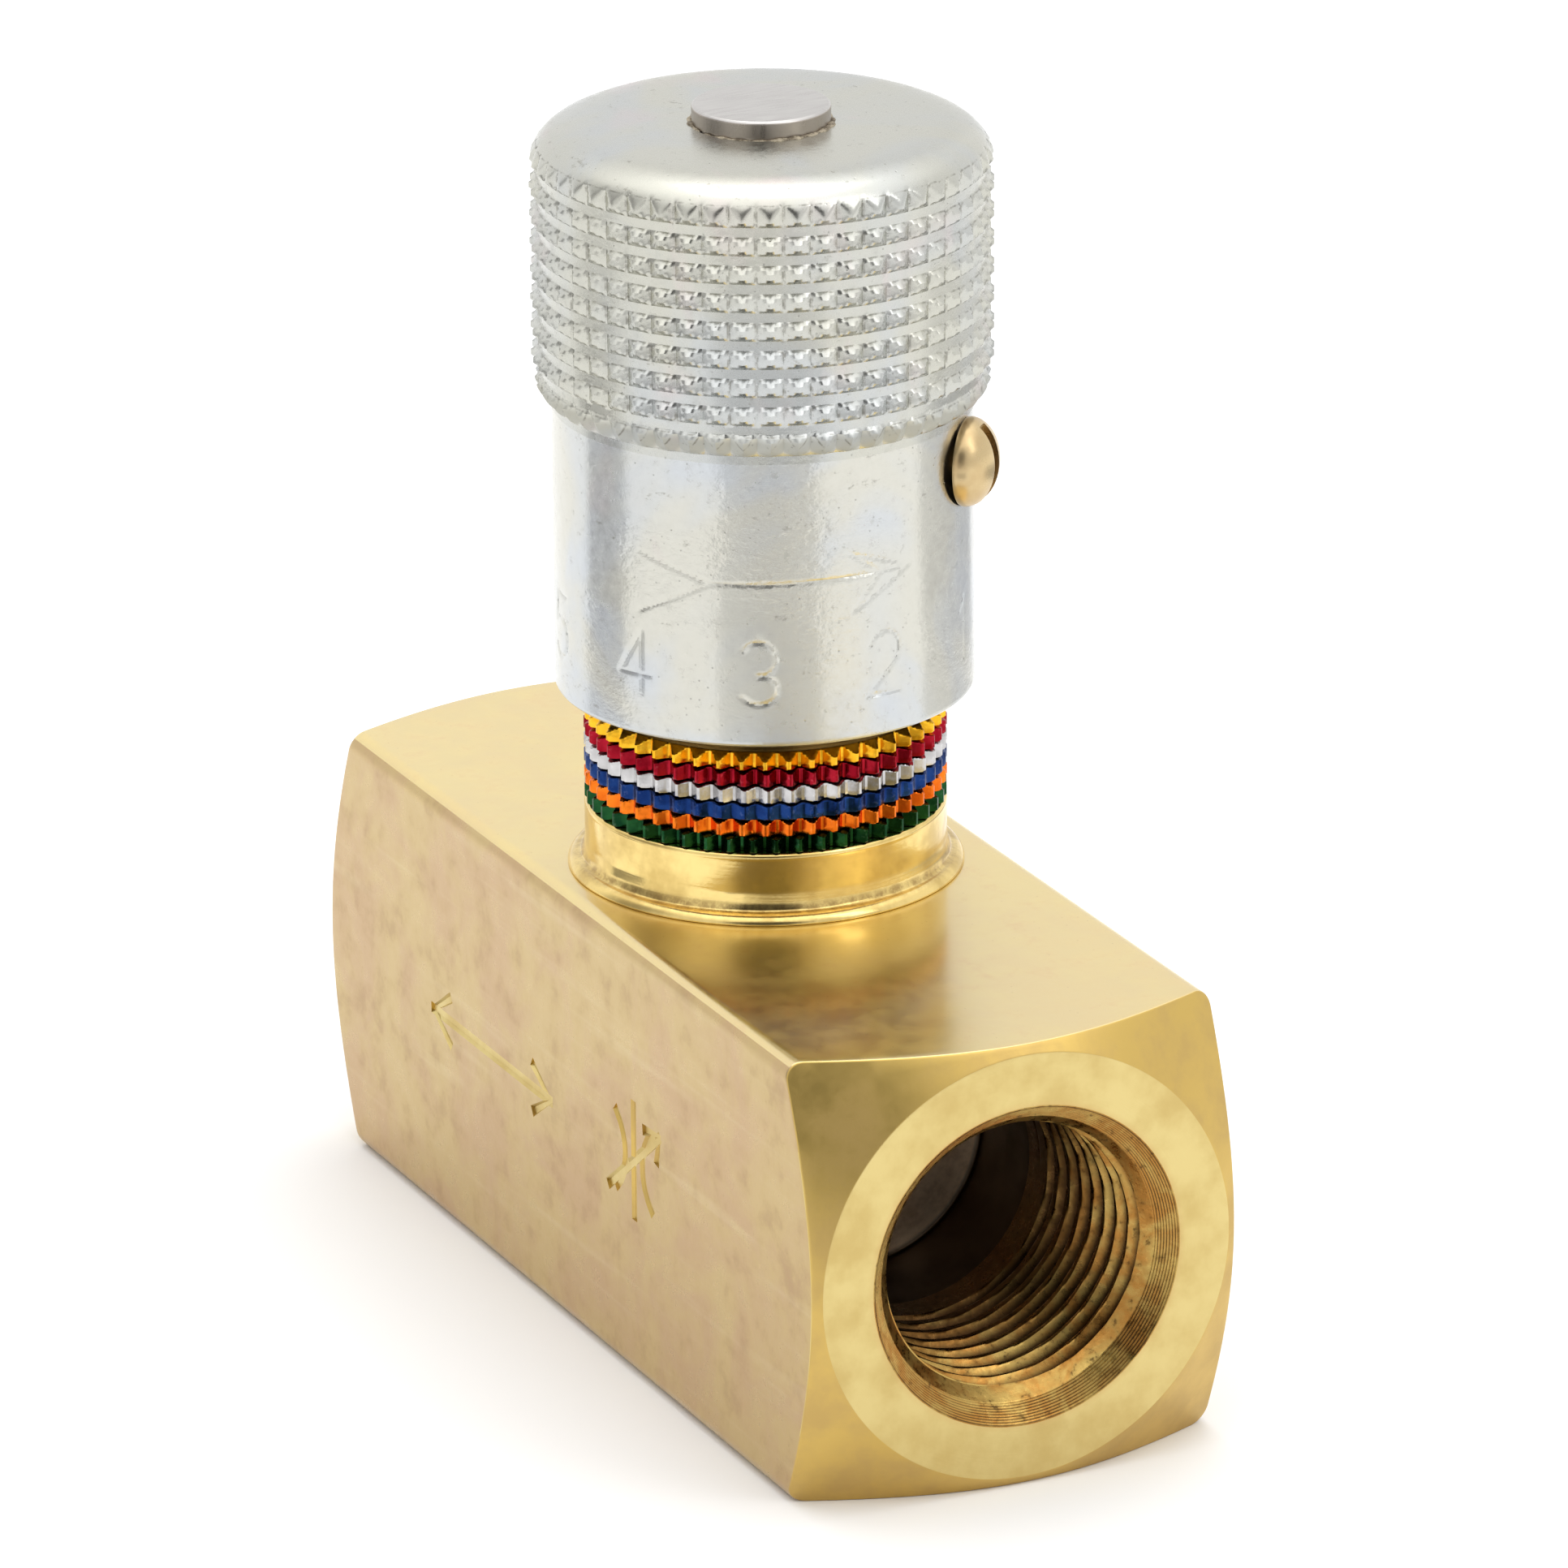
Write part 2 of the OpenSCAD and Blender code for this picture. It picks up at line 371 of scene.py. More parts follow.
def brass_top():
    """Polished top of the bar, which mirrors the neck."""
    surface = Surface("brass_top", metallic=1.0)
    clouds = surface.noise(0.13, 4.0, roughness=0.6, distortion=0.5)
    patches = surface.noise(0.6, 4.0, roughness=0.6)
    base = surface.stained((0.80, 0.68, 0.33), (0.77, 0.63, 0.34), clouds, 0.35, 0.65)
    base = surface.stained(base, (0.70, 0.47, 0.24), patches, 0.55, 0.8, 0.35)
    base = surface.blend(surface.times(surface.spots(1.2, 0.09), 0.5), base, SPECK_BROWN)
    surface.colour(base)
    surface.roughness(patches, 0.34, 0.44)
    surface.haze(0.17, (0.93, 0.82, 0.44), 2.6)
    surface.bump(surface.noise(1.0, 2.0, surface.stretched(2.6, 0.05, 1.0)), 0.005)
    surface.bump(surface.noise(3.0, 3.0), 0.003)
    return surface.material


def brass_chamfer():
    """Turned end chamfers: bright, greener brass with fine tool marks."""
    surface = Surface("brass_chamfer", metallic=1.0)
    radius, angle, _ = surface.around("X")
    patches = surface.noise(0.3, 4.0, roughness=0.6)
    surface.colour(surface.stained((0.62, 0.43, 0.125), (0.55, 0.38, 0.13), patches, 0.35, 0.7))
    surface.roughness(patches, 0.34, 0.46)
    surface.bump(surface.tool_marks(radius, angle, 5.0, 0.5, roughness=0.6), 0.006)
    surface.bump(surface.noise(3.0, 3.0), 0.003)
    return surface.material


def brass_face():
    """The flat ring around each port: a matte, faced surface with fine circles, and a browner inner edge
    that is orange-brown stain with painted shade.
    """
    surface = Surface("brass_face", metallic=1.0)
    radius, angle, _ = surface.around("X")
    patches = surface.noise(0.28, 4.0, roughness=0.6)
    base = surface.stained((0.68, 0.545, 0.23), (0.60, 0.45, 0.17), patches, 0.35, 0.7)
    # The inner edge is browner: partly orange-brown stain, partly painted shade.
    mouth_edge = surface.between(radius, 9.6, 9.15)
    surface.colour(surface.blend(surface.times(mouth_edge, 0.4), base, (0.60, 0.40, 0.16)))
    surface.roughness(patches, 0.34, 0.46)
    surface.bump(surface.tool_marks(radius, angle, 7.0, 0.5, roughness=0.6), 0.008)
    surface.bump(surface.noise(5.0, 3.0), 0.005)
    return surface.material


def brass_port():
    """Countersink and threads: stained with oil; near-black thread roots and dark lines in the tool grooves
    are painted shade mixed with dirt, and painted shade darkens the port deeper in.
    """
    surface = Surface("brass_port", metallic=1.0)
    radius, _, along = surface.around("X")
    depth = surface.maths("SUBTRACT", HALF_LENGTH, surface.maths("ABSOLUTE", along))
    clouds = surface.noise(0.35, 4.0, roughness=0.65, distortion=0.8)
    fine = surface.noise(1.6, 4.0, roughness=0.7)
    base = surface.stained((0.50, 0.34, 0.10), (0.42, 0.20, 0.045), clouds, 0.35, 0.65)
    untapered = surface.maths("ADD", radius, surface.times(depth, THREAD_TAPER))
    root = surface.between(untapered, THREAD_PITCH_RADIUS - 0.25, THREAD_PITCH_RADIUS + 0.2)
    in_thread = surface.between(depth, 1.6, 2.2)
    # The thread roots are painted near black: painted shade mixed with dirt.
    base = surface.blend(surface.times(root, in_thread), base, (0.05, 0.026, 0.010))
    lines = surface.maths("SINE", surface.times(depth, TAU / GROOVE_PITCH))
    grooved = surface.times(surface.between(lines, 0.0, 0.9), surface.between(depth, 1.15, 1.0))
    # Patchy dark lines in the countersink's tool grooves: painted shade mixed with dirt.
    worn = surface.times(grooved, surface.between(clouds, 0.30, 0.60, 0.25, 0.9))
    base = surface.blend(worn, base, (0.10, 0.06, 0.022))
    base = surface.stained(base, (0.06, 0.032, 0.014), fine, 0.56, 0.74, 0.8)
    # Painted shade: the port's colour darkens the deeper it goes.
    base = surface.stained(base, (0.07, 0.034, 0.012), depth, 3.0, 12.0, 0.75)
    surface.colour(base)
    surface.roughness(fine, 0.22, 0.45)
    surface.bump(fine, 0.02)
    return surface.material


def brass_bore():
    """The smooth end of the port: the wall painted near black as painted shade, and the blind face a lighter
    brown as a painted reflection.
    """
    surface = Surface("brass_bore", metallic=1.0)
    radius, angle, _ = surface.around("X")
    clouds = surface.noise(0.4, 4.0, roughness=0.6)
    blind_face = surface.between(radius, BORE_RADIUS - 0.05, BORE_RADIUS - 0.4)
    brown = surface.stained((0.92, 0.70, 0.48), (0.55, 0.38, 0.24), clouds, 0.35, 0.65)
    # Painted shade on the bore wall, painted reflection on the lighter blind face.
    surface.colour(surface.blend(blind_face, (0.05, 0.032, 0.018), brown))
    surface.roughness(clouds, 0.34, 0.5)
    surface.bump(surface.tool_marks(radius, angle, 3.0, 0.5, roughness=0.6), 0.01)
    return surface.material


def brass_turned(name, bright, dull, low_rough, high_rough, shade_height=0.0):
    """Turned brass about Z, with brown specks and patchy painted shade in a corner at the given height."""
    surface = Surface(name, metallic=1.0)
    _, angle, height = surface.around("Z")
    clouds = surface.noise(0.35, 4.0, roughness=0.6)
    fine = surface.noise(1.6, 4.0, roughness=0.7)
    base = surface.stained(bright, dull, clouds, 0.35, 0.68)
    base = surface.stained(base, (0.34, 0.20, 0.06), fine, 0.62, 0.80, 0.4)
    # Painted shade, made patchy, in the corner at the given height.
    corner = surface.between(surface.distance(height, shade_height), 0.45, 0.0)
    corner_shade = surface.times(corner, surface.between(fine, 0.35, 0.65, 0.1, 0.7))
    surface.colour(surface.blend(corner_shade, base, (0.26, 0.15, 0.05)))
    surface.roughness(clouds, low_rough, high_rough)
    surface.bump(surface.tool_marks(height, angle, 6.0), 0.003)
    surface.bump(fine, 0.006)
    return surface.material


def zinc(name, low_rough, high_rough, warm, cool, grain):
    """Bright zinc plating with faint tints, leathery patches, patchy painted shade in the knurl's valleys,
    and specks.
    """
    surface = Surface(name, metallic=1.0)
    radius, _, height = surface.around("Z")
    clouds = surface.noise(0.10, 3.0, distortion=0.8)
    blush = surface.noise(0.15, 3.0, surface.stretched(1.0, 1.0, 0.6), distortion=1.0)
    fine = surface.noise(1.5, 5.0, roughness=0.7)
    base = surface.stained(warm, cool, clouds, 0.42, 0.66)
    base = surface.stained(base, (0.60, 0.52, 0.51), blush, 0.56, 0.74, 0.55)
    base = surface.stained(base, (0.36, 0.36, 0.33), fine, 0.58, 0.78, 0.5)
    # Painted shade, made patchy, in the valleys of the knurl.
    deep = surface.between(surface.distance(radius, GRIP_RADIUS - 0.41), 0.05, 0.01)
    knurled = surface.between(radius, SKIRT_RADIUS + 0.1, SKIRT_RADIUS + 0.3)
    knurl_valley_shade = surface.times(deep, surface.between(fine, 0.45, 0.62, 0.0, 0.7))
    base = surface.blend(surface.times(knurl_valley_shade, knurled), base, (0.22, 0.21, 0.18))
    flecks = surface.noise(0.9, 6.0, surface.stretched(1.0, 1.0, 1.7), roughness=0.8)
    base = surface.stained(base, (0.26, 0.25, 0.21), flecks, 0.61, 0.68, 0.6)
    pits = surface.spots(1.5, 0.13)
    surface.colour(surface.blend(surface.times(pits, 0.55), base, (0.20, 0.20, 0.18)))
    under_grip = surface.times(knurled, surface.between(height, 54.3, 53.5, 0.0, 0.68))
    surface.roughness(fine, low_rough, high_rough, least=under_grip)
    leather = surface.noise(1.6, 3.0, surface.stretched(1.0, 1.0, 1.6), roughness=0.6)
    patch = surface.between(surface.noise(0.12, 2.0), 0.50, 0.62, 0.1, 1.0)
    surface.bump(surface.times(leather, patch), 0.12 * grain)
    surface.bump(surface.noise(3.0, 4.0, roughness=0.65), 0.02 * grain)
    surface.bump(surface.maths("SUBTRACT", 0.0, pits), 0.01)
    return surface


def turned_sheen(surface, amount):
    """Stretches highlights along Z, as fine tool marks round a turned skirt do."""
    tangent = surface.add("Tangent", direction_type="RADIAL", axis="Z")
    surface.feed(tangent.outputs[0], surface.shader.inputs["Tangent"])
    surface.shader.inputs["Anisotropic"].default_value = amount
    surface.shader.inputs["Anisotropic Rotation"].default_value = 0.25


def anodised(name, bright, deep):
    """Dyed aluminium, worn paler on the tips of the teeth, with a painted shade line where two bands meet.
    """
    surface = Surface(name, metallic=1.0)
    radius, _, height = surface.around("Z")
    clouds = surface.noise(0.8, 3.0)
    fine = surface.noise(5.0, 3.0)
    base = surface.stained(bright, deep, clouds, 0.35, 0.65)
    stack = surface.maths("DIVIDE", surface.maths("SUBTRACT", height, LEDGE_Z), BAND_PITCH)
    off_middle = surface.distance(surface.maths("FRACT", stack), 0.5)
    # Painted shade: a dark line where each band meets the next.
    base = surface.stained(base, (0.008, 0.006, 0.006), off_middle, 0.43, 0.48, 0.85)
    tips = surface.between(radius, 9.85, 10.05)
    worn = surface.times(tips, surface.between(fine, 0.55, 0.7, 0.0, 0.35))
    surface.colour(surface.blend(worn, base, tuple(min(1.0, 1.4 * c + 0.08) for c in bright)))
    surface.roughness(fine, 0.16, 0.26)
    surface.bump(fine, 0.003)
    return surface.material


def stainless():
    """The stem: a brushed round end, fine lines down its side, and its side painted darker and warmer as
    painted shade.
    """
    surface = Surface("stainless_stem", metallic=1.0)
    radius, angle, height = surface.around("Z")
    brushed = surface.noise(1.0, 3.0, surface.stretched(5.0, 0.5, 1.0))
    base = surface.stained((0.50, 0.48, 0.465), (0.56, 0.545, 0.525), brushed, 0.3, 0.7)
    # Painted shade: the side is darker and warmer than the end face.
    surface.colour(surface.stained(base, (0.42, 0.375, 0.33), radius, 3.78, 3.80))
    surface.roughness(brushed, 0.26, 0.36)
    surface.bump(brushed, 0.004)
    surface.bump(surface.tool_marks(height, angle, 5.0), 0.003)
    return surface.material


def two_tone(name, roughness, first, second, noise, low=0.3, high=0.7, relief=0.0):
    """A plain material: two colours mixed by a noise (scale, detail, roughness), and its relief."""
    surface = Surface(name, roughness=roughness)
    scale, detail, noise_roughness = noise
    clouds = surface.noise(scale, detail, roughness=noise_roughness)
    surface.colour(surface.stained(first, second, clouds, low, high))
    if relief:
        surface.bump(clouds, relief)
    return surface.material


def dirt():
    """Brown, crumbly residue where the stem meets the knob."""
    dark, pale = (0.10, 0.075, 0.045), (0.42, 0.36, 0.26)
    return two_tone("brown_residue", 0.7, dark, pale, (2.4, 4.0, 0.7), 0.35, 0.65, 0.06)


def rubber():
    """Matte seal rubber with a fine moulded grain."""
    black, grey = (0.012, 0.012, 0.013), (0.03, 0.03, 0.032)
    return two_tone("seal_rubber", 0.6, black, grey, (6.0, 4.0, 0.5), relief=0.01)


def seal_plastic():
    """Milky fluoroplastic of the backup rings."""
    dull, milky = (0.78, 0.77, 0.73), (0.88, 0.87, 0.84)
    return two_tone("seal_plastic", 0.4, dull, milky, (1.2, 3.0, 0.5), relief=0.005)


# ---- valve body

FACE_RING_RADIUS = 12.18
CHAMFER_SLOPE = 0.64
BAR_EDGE_RADIUS = 1.0
MOUTH_RADIUS = 9.12
BORE_RADIUS = 7.46
PORT_DEPTH = 20.5
THREAD_PITCH = 1.411
THREAD_PITCH_RADIUS = 7.96
THREAD_TAPER = 1 / 32
THREAD_HALF_HEIGHT = 0.565
THREAD_END = 14.6
GROOVE_PITCH = 0.13
WELL_RADIUS = 8.2
PASSAGE_RADIUS = 2.2
UPPER_PASSAGE_Z = 16.6
LOWER_PASSAGE_Z = 8.0
MARK_WIDTH = 0.68
MARK_DEPTH = 0.16


def bar_outline(per_flat=40, per_corner=12):
    """(y, z) round the bar's section, about the port axis, anticlockwise from +Y seen from +X."""
    inset = HALF_SIDE - BAR_EDGE_RADIUS
    points = []
    for turn in range(4):
        quarter = turn * math.pi / 2
        flat = [(HALF_SIDE, -inset + 2 * inset * k / per_flat) for k in range(per_flat)]
        corner = arc(inset, inset, BAR_EDGE_RADIUS, BAR_EDGE_RADIUS, 0, 90, per_corner)[:-1]
        for y, z in flat + corner:
            points.append((
                y * math.cos(quarter) - z * math.sin(quarter),
                y * math.sin(quarter) + z * math.cos(quarter),
            ))
    return np.array(points)


def thread_radius(depth, angle):
    """Radius cut by the taper tap at a depth below the port's face, right-handed."""
    turn = (-depth / THREAD_PITCH - angle / TAU) % 1.0
    wave = np.minimum(1 - 4 * np.abs(turn - 0.5), 0.86)
    start = np.clip((depth - 1.2) / 1.2, 0, 1)
    stop = np.clip((14.4 - depth) / 2.2, 0, 1)
    height = THREAD_HALF_HEIGHT * (1 + wave) * start * stop
    return THREAD_PITCH_RADIUS - THREAD_TAPER * depth - THREAD_HALF_HEIGHT + height


def countersink_radius(depth):
    """Mouth cone with fine tool grooves on its outer part."""
    grooves = 0.03 * np.sin(TAU * depth / GROOVE_PITCH) * (depth < 1.1)
    return MOUTH_RADIUS - 0.84 * depth + grooves


def port_rows(angle):
    """Rows of (depth, radius) from the port's face ring down to its blind end."""
    rows = bend((0, 9.20), (0, MOUTH_RADIUS), (0.07, 9.06))
    for depth in np.arange(0.1, 1.9, 0.0325):
        wall = np.maximum(countersink_radius(depth), thread_radius(depth, angle))
        rows.append((depth, np.maximum(wall, BORE_RADIUS)))
    for depth in np.arange(1.9, THREAD_END, THREAD_PITCH / 18):
        rows.append((depth, np.maximum(thread_radius(depth, angle), BORE_RADIUS)))
    rows += [(depth, BORE_RADIUS) for depth in (15.0, 16.5, 18.0, 19.5, PORT_DEPTH - 0.25)]
    wall, face = (PORT_DEPTH - 0.15, BORE_RADIUS), (PORT_DEPTH, BORE_RADIUS - 0.15)
    rows += bend(wall, (PORT_DEPTH, BORE_RADIUS), face)
    return rows + [(PORT_DEPTH, radius) for radius in (6.0, 4.5, 3.0, 1.5)]


def end_rows(outline, side):
    """Rows of (depth, radius) from the middle of the bar out over one end and into its port."""
    radius = np.hypot(outline[:, 0], outline[:, 1])
    angle = np.arctan2(outline[:, 1], outline[:, 0]) * side
    edge = (radius - FACE_RING_RADIUS) * CHAMFER_SLOPE
    slant = math.hypot(1, CHAMFER_SLOPE)
    reach = 0.13
    inward = (edge - reach * CHAMFER_SLOPE / slant, radius - reach / slant)
    rows = [(HALF_LENGTH - share * (HALF_LENGTH - edge), radius) for share in (0.35, 0.7)]
    rows.append((edge + 0.6, radius))
    rows += bend((edge + reach, radius), (edge, radius), inward)
    small = 0.06
    outer = (small * CHAMFER_SLOPE, FACE_RING_RADIUS + small)
    for share in (0.3, 0.6, 0.85):
        rows.append(tuple((1 - share) * a + share * b for a, b in zip(inward, outer)))
    rows += bend(outer, (0, FACE_RING_RADIUS), (0, FACE_RING_RADIUS - small))
    rows += [(0, ring_radius) for ring_radius in (11.8, 11.0, 10.2, 9.6)]
    return rows + port_rows(angle)


def body_rings(outline):
    """All rings of the body, from the blind end of the -X port to that of the +X port."""
    y, z = (outline / np.linalg.norm(outline, axis=1)[:, None]).T
    rings = []
    for side in (-1, 1):
        half = [
            np.column_stack([side * (HALF_LENGTH - depth) + 0 * y, y * radius, AXIS_Z + z * radius])
            for depth, radius in end_rows(outline, side)
        ]
        rings += half[::side]
    return np.array(rings)


def drill(name, start, end, height):
    """A drilled passage along X at the given height, as a cutter."""
    outline = [(0, start), (PASSAGE_RADIUS, start), (PASSAGE_RADIUS, end), (0, end)]
    cutter = turned(name, outline, 64)
    cutter.data.transform(Matrix.Rotation(math.pi / 2, 4, "Y"))
    cutter.data.transform(Matrix.Translation((0, 0, height * MM)))
    return cutter


def bonnet_well():
    """The stepped hole from the top down to the seat, as a cutter."""
    outline = [
        (0, 5), (2.5, 5), (2.5, 12), (3.3, 12.8), (4.6, 12.8), (4.6, 19),
        (WELL_RADIUS, 19), (WELL_RADIUS, TOP_Z + 1), (0, TOP_Z + 1),
    ]
    return turned("well_cutter", outline, 96)


def engraving_bit(name, line, width, depth):
    """A cutter for one engraved line on the -Y face: its points are (x, z)."""
    line = np.array(line, float)
    ahead = np.diff(line, axis=0)
    ahead /= np.linalg.norm(ahead, axis=1)[:, None]
    tangent = np.vstack([ahead[:1], (ahead[:-1] + ahead[1:]) / 2, ahead[-1:]])
    tangent /= np.linalg.norm(tangent, axis=1)[:, None]
    line[0] -= tangent[0] * width / 2
    line[-1] += tangent[-1] * width / 2
    across = np.column_stack([-tangent[:, 1], tangent[:, 0]])
    half_widths = ((0.5 * width + 0.15, 0.3), (0.5 * width, 0.0), (0.28 * width, -depth))
    section = [(half, out) for half, out in half_widths]
    section += [(-half, out) for half, out in half_widths[::-1]]
    rings = []
    for half, out in section:
        x, z = (line + across * half).T
        rings.append(np.column_stack([x, np.full(len(line), -HALF_SIDE - out), z]))
    rings = np.array(rings).transpose(1, 0, 2)
    sides = len(section)
    last = (len(rings) - 1) * sides
    ends = [list(range(sides))[::-1], [last + k for k in range(sides)]]
    return make_object(name, rings.reshape(-1, 3), grid_faces(len(rings), sides, False).tolist() + ends)


def throttle_symbol(centre_x, centre_z):
    """Two arcs pinching a flow line, with a slanted adjusting arrow through them."""
    lines = [
        arc(-4.2, 0, 3.1, 2.8, -50, 50, 8),
        arc(4.2, 0, 3.1, 2.8, 130, 230, 8),
        [(0, -3.2), (0, 3.2)],
        [(-3.2, -2.4), (3.2, 2.4)],
        [(1.5, 2.3), (3.3, 2.5), (3.0, 1.1)],
    ]
    return [[(centre_x + x, centre_z + z) for x, z in line] for line in lines]


def flow_arrow(centre_x, centre_z, half_length, head):
    """A plain double-headed arrow along the bar."""
    lines = [[(centre_x - half_length, centre_z), (centre_x + half_length, centre_z)]]
    for end in (-1, 1):
        tip = centre_x + end * half_length
        barbs = [(tip - end * head, centre_z + side * 0.6 * head) for side in (1, -1)]
        lines.append([barbs[0], (tip, centre_z), barbs[1]])
    return lines


def sort_body_faces(mesh):
    """Gives each face the material of its region, by its place and by which way it looks."""
    side, top, chamfer, face, port, bore = range(6)
    count = len(mesh.polygons)
    centre, normal = np.empty(count * 3), np.empty(count * 3)
    mesh.polygons.foreach_get("center", centre)
    mesh.polygons.foreach_get("normal", normal)
    x, y, z = centre.reshape(-1, 3).T / MM
    normal = normal.reshape(-1, 3)
    radius = np.hypot(y, z - AXIS_Z)
    depth = HALF_LENGTH - np.abs(x)
    index = np.full(count, side, np.int32)
    index[normal[:, 2] > 0.7] = top
    sunk = y + HALF_SIDE
    engraved = (sunk > 0.01) & (sunk < 0.3) & (np.abs(z - AXIS_Z) < 8)
    index[engraved] = face
    index[(np.abs(normal[:, 0]) > 0.5) & (radius > FACE_RING_RADIUS - 0.1)] = chamfer
    index[(depth < 0.01) & (radius < FACE_RING_RADIUS)] = face
    in_port = (radius < 9.19) & (depth < PORT_DEPTH + 0.1)
    index[in_port] = port
    index[in_port & (depth > THREAD_END)] = bore
    in_well = (np.hypot(x, y) < WELL_RADIUS + 0.01) & (z > 4) & (radius < 12.6)
    # The well under the bonnet takes the bore's material, with its painted shade.
    index[in_well & (depth > PORT_DEPTH)] = bore
    mesh.polygons.foreach_set("material_index", index)


def valve_body():
    tip = HALF_LENGTH - PORT_DEPTH
    blind_ends = [[-tip, 0, AXIS_Z], [tip, 0, AXIS_Z]]
    piece = shell_from_rings("valve_body_detail", body_rings(bar_outline()), blind_ends)
    cutters = [
        bonnet_well(),
        drill("upper_passage", -tip - 1, 0, UPPER_PASSAGE_Z),
        drill("lower_passage", 0, tip + 1, LOWER_PASSAGE_Z),
    ]
    for k, line in enumerate(throttle_symbol(9.6, 12.9) + flow_arrow(-9.5, 12.5, 8.0, 2.2)):
        cutters.append(engraving_bit(f"engraving_{k}", line, MARK_WIDTH, MARK_DEPTH))
    cut(piece, cutters)
    materials = [brass_side(), brass_top(), brass_chamfer(), brass_face(), brass_port(), brass_bore()]
    finish_piece(piece, "housing", "valve_body", materials, 32, sort_body_faces)


# ---- bonnet

NECK_RADIUS = 10.07
TUBE_RADIUS = 8.9
LEDGE_Z = 29.25


def bonnet():
    foot = TOP_Z
    outline = [
        (5.6, 19.3), (8.15, 19.3), (8.15, 20.0), (7.10, 20.0), (7.10, 21.2), (8.15, 21.2),
        (8.15, foot), (11.05, foot), (11.02, foot + 0.18), (10.86, foot + 0.40), (10.62, foot + 0.54),
        (10.40, foot + 0.56), (10.27, foot + 0.64), (10.15, foot + 1.0), (NECK_RADIUS, foot + 1.6),
        (NECK_RADIUS, 28.86), (NECK_RADIUS + 0.02, 28.98), (NECK_RADIUS - 0.02, 29.14),
        (NECK_RADIUS - 0.16, LEDGE_Z), (TUBE_RADIUS, LEDGE_Z), (TUBE_RADIUS, 51.5), (8.4, 52.0),
        (4.80, 52.0), (4.80, 35.5), (5.6, 35.5),
    ]
    piece = turned("bonnet_detail", rounded(outline, 0.12), 256)
    # The last number is the height of the corner that gets painted shade.
    material = brass_turned("brass_bonnet", (0.86, 0.65, 0.25), (0.62, 0.44, 0.15), 0.12, 0.22, TOP_Z + 0.75)
    finish_piece(piece, "housing", "bonnet", [material], 40)


# ---- colour bands

BAND_TEETH = 48
BAND_INNER = TUBE_RADIUS + 0.04
BAND_PITCH = 0.96


def serration(angle, first_crest, depth):
    """Depth below the crests of a band's teeth: a wave with narrow crests and roots."""
    place = np.abs(((angle - first_crest) * BAND_TEETH / TAU + 0.5) % 1.0 - 0.5) * 2
    return depth * np.clip((place - 0.12) / 0.74, 0, 1)


def band(node, phase_degrees, tooth_depth, chamfer, material):
    """One serrated ring, its teeth chamfered from above."""
    low, high = size_mm(node)
    bottom, top = low[2] + 0.04, high[2] - 0.02
    angle = np.arange(BAND_TEETH * 16) * TAU / (BAND_TEETH * 16)
    crest = NECK_RADIUS - serration(angle, FRONT_ANGLE + math.radians(phase_degrees), tooth_depth)
    rows = [
        (BAND_INNER, bottom),
        (np.minimum(crest, NECK_RADIUS - 0.06) - 0.02, bottom),
        (crest, bottom + 0.07),
        (crest, bottom + 0.30),
        (crest, top - chamfer - 0.03),
    ]
    for share in (0.0, 0.25, 0.5, 0.75, 1.0):
        cut_back = 0.05 + share * max(tooth_depth, chamfer)
        rim = np.minimum(crest, NECK_RADIUS - cut_back) - 0.01 * share
        rows.append((rim, top - chamfer * (1 - share)))
    rows.append((BAND_INNER, top))
    rings = np.array([ring(radius, angle, height) for radius, height in rows])
    piece = shell_from_rings(node + "_serrated", rings)
    finish_piece(piece, "housing", node, [material], 28)


def colour_bands():
    band("band_green", 3.4, 0.55, 0.12, anodised("green_dye", (0.016, 0.080, 0.024), (0.006, 0.036, 0.014)))
    band("band_orange", 0.0, 0.48, 0.20, anodised("orange_dye", (0.84, 0.20, 0.016), (0.70, 0.13, 0.010)))
    band("band_blue", 0.8, 0.26, 0.10, anodised("blue_dye", (0.014, 0.046, 0.180), (0.007, 0.024, 0.110)))
    band("band_silver", 1.0, 0.40, 0.14, anodised("clear_anodise", (0.58, 0.57, 0.57), (0.44, 0.43, 0.43)))
    band("band_red", 0.4, 0.55, 0.16, anodised("red_dye", (0.36, 0.012, 0.026), (0.24, 0.005, 0.014)))
    band("band_gold", 0.0, 0.62, 0.36, anodised("gold_dye", (0.90, 0.50, 0.030), (0.82, 0.40, 0.018)))


# ---- knob

KNURL_TEETH = 52
KNURL_FIRST = math.radians(-30.4)
KNURL_ROW = 1.59
KNURL_GROOVE_Z = 54.34
KNURL_GROOVES = 8
GRIP_RADIUS = 12.7
SKIRT_RADIUS = 11.62
FLAT_RADIUS = 9.2
GRIP_BOTTOM = 52.7
DIGIT_HEIGHT = 3.6
DIGIT_WIDTH = 2.1
DIGIT_Z = 38.45
DIGIT_ONE_ANGLE = math.radians(45)
ENGRAVED_WIDTH = 0.17
ENGRAVED_DEPTH = 0.09
MARKS_TOP_Z = 52.0


